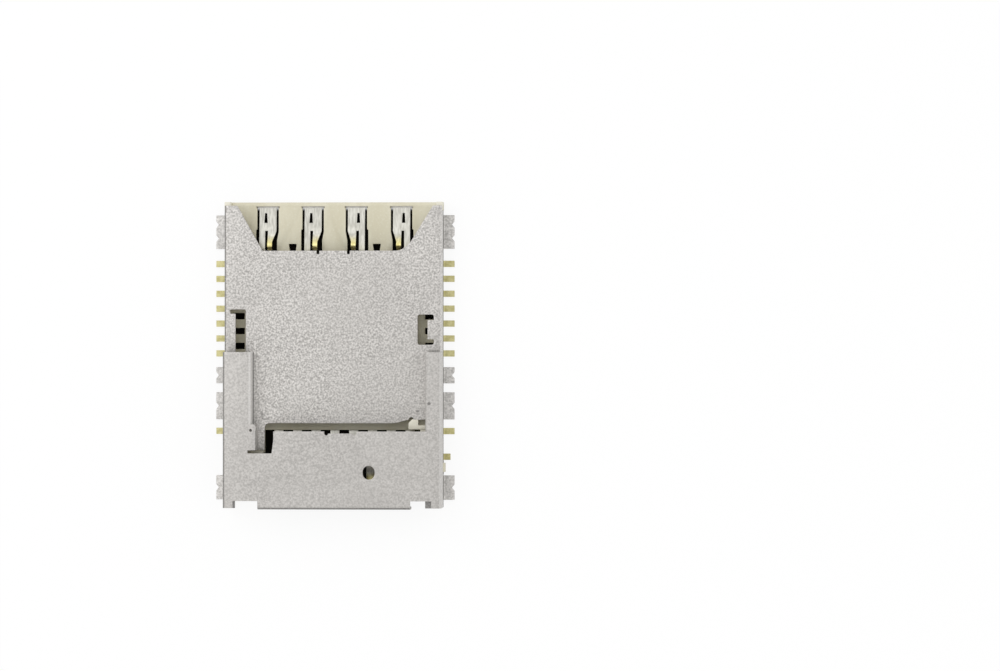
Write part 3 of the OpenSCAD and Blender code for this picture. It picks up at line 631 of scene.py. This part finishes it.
# Upper beam: half its width, and reaches from its root to its ruled lines and its end
BEAM_HALF = 0.265
NARROWS_FROM, BEAM_END = 2.44, 3.64
MEMORY_REACHES = (0, 0.25, 0.38, 0.5, 0.62, 0.75, 1.2, 1.8, NARROWS_FROM, 2.9, 3.02, 3.1, 3.18, 3.26,
                  3.34, 3.4, 3.46, 3.52, 3.58, BEAM_END)
BEAM_PROFILE = ((0, 0.25), (0.4, 0.27), (3.09, 1.59), (3.44, 1.65), (3.64, 1.5))


def sprung_beam():
    """Upper contact with its root at the origin: a long beam with small shoulders, which
    narrows to a rounded crest."""
    shoulder, narrowing = 0.065, 0.06
    beam = ruled_blank("sprung_beam", (-BEAM_HALF, 0, BEAM_HALF),
                       [-reach for reach in reversed(MEMORY_REACHES)])
    for reach in MEMORY_REACHES:
        wider = shoulder if 0.3 < reach < 0.7 else 0
        narrower = share_past(reach, NARROWS_FROM, 1) * narrowing
        for side in (-1, 1):
            slide(lambda place: near(place.x, side * BEAM_HALF) and near(place.y, -reach),
                  x=side * (wider - narrower))
    bend_to(1, 0, MEMORY_REACHES, BEAM_PROFILE)
    end_half = BEAM_HALF - narrowing
    round_corners(0.05, (-end_half, -BEAM_END), (end_half, -BEAM_END))
    give_strip(beam, COINED_RADIUS)
    return beam


def copies_for(master, nodes):
    """The master for the first node and a copy with its own mesh for each of the others."""
    pieces = [master]
    for node in nodes[1:]:
        bpy.ops.object.select_all(action="DESELECT")
        master.select_set(True)
        bpy.context.view_layer.objects.active = master
        bpy.ops.object.duplicate(linked=False)
        pieces.append(bpy.context.object)
    return pieces


def seat_blade(piece, node, name, mirrored, alloy):
    """Sets a blade at its node's root and turns the right side's into its mirror image."""
    low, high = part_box(node)
    open_piece(piece)
    bpy.ops.mesh.select_all(action="SELECT")
    if mirrored:
        bpy.ops.transform.resize(value=(-1, 1, 1), center_override=(0, 0, 0))
        bpy.ops.mesh.remove_doubles(threshold=SAME_PLACE)
        bpy.ops.mesh.normals_make_consistent(inside=False)
    root = ((low.x + high.x) / 2 / MM, high.y / MM, 0)
    bpy.ops.transform.translate(value=root)
    close_piece()
    piece.name = name
    stand_in(piece, node, "contact_alloy", alloy, COINED_EDGE)


def lower_contacts():
    nodes = [f"sim_spring_{number}" for number in range(1, 9)]
    for piece, node in zip(copies_for(forked_blade(), nodes), nodes):
        right = sum(corner.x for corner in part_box(node)) > 0
        seat_blade(piece, node, node.replace("spring", "blade"), right, SIM_ALLOY)


def upper_contacts():
    nodes = [f"memory_spring_{number}" for number in range(1, 9)]
    for piece, node in zip(copies_for(sprung_beam(), nodes), nodes):
        seat_blade(piece, node, node.replace("spring", "beam"), False, MEMORY_ALLOY)


# Detect blade: its width at the root, how much it widens, and reaches from its root
DETECT_WIDTH, DETECT_WIDENING, DETECT_END = 0.32, 0.22, 2.69
DETECT_REACHES = (0, 0.15, 0.3, 0.45, 0.6, 1.1, 1.7, 2.05, 2.15, 2.25, 2.35, 2.42, 2.48, 2.54,
                  2.61, DETECT_END)
DETECT_PROFILE = ((0, 1.2), (0.3, 1.22), (2.19, 2.08), (2.44, 2.11), (2.69, 1.99))


def detect_blade():
    """Blade of the card detect switch, across the back of the bay: it runs to -X, widens
    towards its end and curls down past its crest."""
    low, high = (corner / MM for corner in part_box("detect_spring"))
    root, near_edge = high.x, high.y
    far_edge = near_edge - DETECT_WIDTH
    blade = ruled_blank("detect_blade", [root - reach for reach in reversed(DETECT_REACHES)],
                        (far_edge, near_edge))
    for reach in DETECT_REACHES:
        wider = share_past(reach, 0.5, 1.94) * DETECT_WIDENING
        slide(lambda place: near(place.x, root - reach) and near(place.y, far_edge), y=-wider)
    bend_to(0, root, DETECT_REACHES, DETECT_PROFILE)
    end = root - DETECT_END
    round_corners(0.06, (end, near_edge), (end, far_edge - DETECT_WIDENING))
    give_strip(blade, COINED_RADIUS)
    stand_in(blade, "detect_spring", "contact_alloy", DETECT_ALLOY, COINED_EDGE)


def finished_terminals():
    """Each terminal with the small burnished radius of stamped strip."""
    for node in BODY_OF:
        if "terminal" in node:
            piece = eased_copy(node, node.replace("terminal", "lead"), 0.012)
            close_piece()
            tail = OLIVE_TAIL if node == "detect_terminal" else PALE_TAIL
            stand_in(piece, node, "plated_tails", tail)


finished_shell()
finished_housing()
finished_terminals()
lower_contacts()
upper_contacts()
detect_blade()


# Floor, light and camera

# The floor lies this far under the pieces, so that it shares no plane with their undersides
FLOOR_DROP = 0.02
CAMERA_PLACE = (22.83, 1.16, 243.24)
CAMERA_LEAN = radians(3.1)
CAMERA_LENS = 150


def pale_floor():
    """A pale floor that keeps the connector's shadow, with painted shade right under it: dark
    there, where no light gets in. From below it is clear, so the underside shows."""
    bpy.ops.object.select_all(action="DESELECT")
    bpy.ops.mesh.primitive_plane_add(size=1.6, location=mm(0, 0, -FLOOR_DROP))
    floor = bpy.context.object
    floor.name = "floor"
    material = bpy.data.materials.new("pale_floor")
    material.use_nodes = True
    tree = material.node_tree
    tree.nodes.clear()
    place = tree.nodes.new("ShaderNodeTexCoord").outputs["Object"]
    clear_of_sides = graded(tree, distance_to(tree, place, "X", 0), 6.0, 6.15)
    clear_of_ends = graded(tree, distance_to(tree, place, "Y", 0.15), 8.3, 8.6)
    open_floor = maths(tree, "MAXIMUM", clear_of_sides, clear_of_ends)
    paint = tree.nodes.new("ShaderNodeBsdfDiffuse")
    # Painted shade: nearly black under the connector, pale in the open.
    tree.links.new(mixed(tree, open_floor, (0.012, 0.011, 0.009), (0.93, 0.93, 0.93)),
                   paint.inputs["Color"])
    glow = tree.nodes.new("ShaderNodeEmission")
    path = tree.nodes.new("ShaderNodeLightPath")
    seen_open = maths(tree, "MULTIPLY", open_floor, path.outputs["Is Camera Ray"])
    lift = tree.nodes.new("ShaderNodeMixShader")
    tree.links.new(maths(tree, "MULTIPLY", seen_open, 0.88), lift.inputs["Fac"])
    tree.links.new(paint.outputs["BSDF"], lift.inputs[1])
    tree.links.new(glow.outputs["Emission"], lift.inputs[2])
    clear = tree.nodes.new("ShaderNodeBsdfTransparent")
    below = tree.nodes.new("ShaderNodeNewGeometry").outputs["Backfacing"]
    seen_from_below = maths(tree, "MAXIMUM", below, path.outputs["Transparent Depth"])
    choice = tree.nodes.new("ShaderNodeMixShader")
    out = tree.nodes.new("ShaderNodeOutputMaterial")
    tree.links.new(seen_from_below, choice.inputs["Fac"])
    tree.links.new(lift.outputs["Shader"], choice.inputs[1])
    tree.links.new(clear.outputs["BSDF"], choice.inputs[2])
    tree.links.new(choice.outputs["Shader"], out.inputs["Surface"])
    floor.data.materials.append(material)


def studio_world(ambient, overhead):
    """Nearly even soft light, which a broad patch overhead, a little to the left, makes slightly
    stronger. The camera and reflections see a white background."""
    world = bpy.data.worlds.new("studio")
    bpy.context.scene.world = world
    world.use_nodes = True
    tree = world.node_tree
    background = tree.nodes["Background"]
    path = tree.nodes.new("ShaderNodeLightPath")
    seen = maths(tree, "MAXIMUM", path.outputs["Is Camera Ray"], path.outputs["Is Glossy Ray"])
    seen = maths(tree, "MAXIMUM", seen, path.outputs["Is Transmission Ray"])
    place = tree.nodes.new("ShaderNodeTexCoord").outputs["Generated"]
    patch = tree.nodes.new("ShaderNodeVectorMath")
    patch.operation = "DOT_PRODUCT"
    patch.inputs[1].default_value = Vector((-0.16, 0.1, 1)).normalized()
    tree.links.new(place, patch.inputs[0])
    light = graded(tree, patch.outputs["Value"], 0.5, 0.86, ambient, overhead)
    unseen = maths(tree, "MULTIPLY", light, maths(tree, "SUBTRACT", 1, seen))
    tree.links.new(maths(tree, "ADD", unseen, seen), background.inputs["Strength"])
    background.inputs["Color"].default_value = (1, 1, 1, 1)


def soft_lamp(name, place, size, power):
    """A square lamp at a place in mm that faces the connector."""
    light = bpy.data.lights.new(name, "AREA")
    light.size = size * MM
    light.energy = power
    lamp = bpy.data.objects.new(name, light)
    bpy.context.scene.collection.objects.link(lamp)
    lamp.location = mm(*place)
    lamp.rotation_euler = (-lamp.location).to_track_quat("-Z", "Y").to_euler()


def photo_camera():
    """Nearly straight down, a little from the right, with the connector left of the middle."""
    data = bpy.data.cameras.new("camera")
    data.lens = CAMERA_LENS
    data.clip_start = 0.001
    camera = bpy.data.objects.new("camera", data)
    bpy.context.scene.collection.objects.link(camera)
    camera.location = mm(*CAMERA_PLACE)
    camera.rotation_euler = (0, CAMERA_LEAN, 0)
    bpy.context.scene.camera = camera


pale_floor()
studio_world(0.9, 1.0)
soft_lamp("key", (-160, 150, 240), 220, 0.2)
photo_camera()
bpy.context.scene.view_settings.view_transform = "Standard"
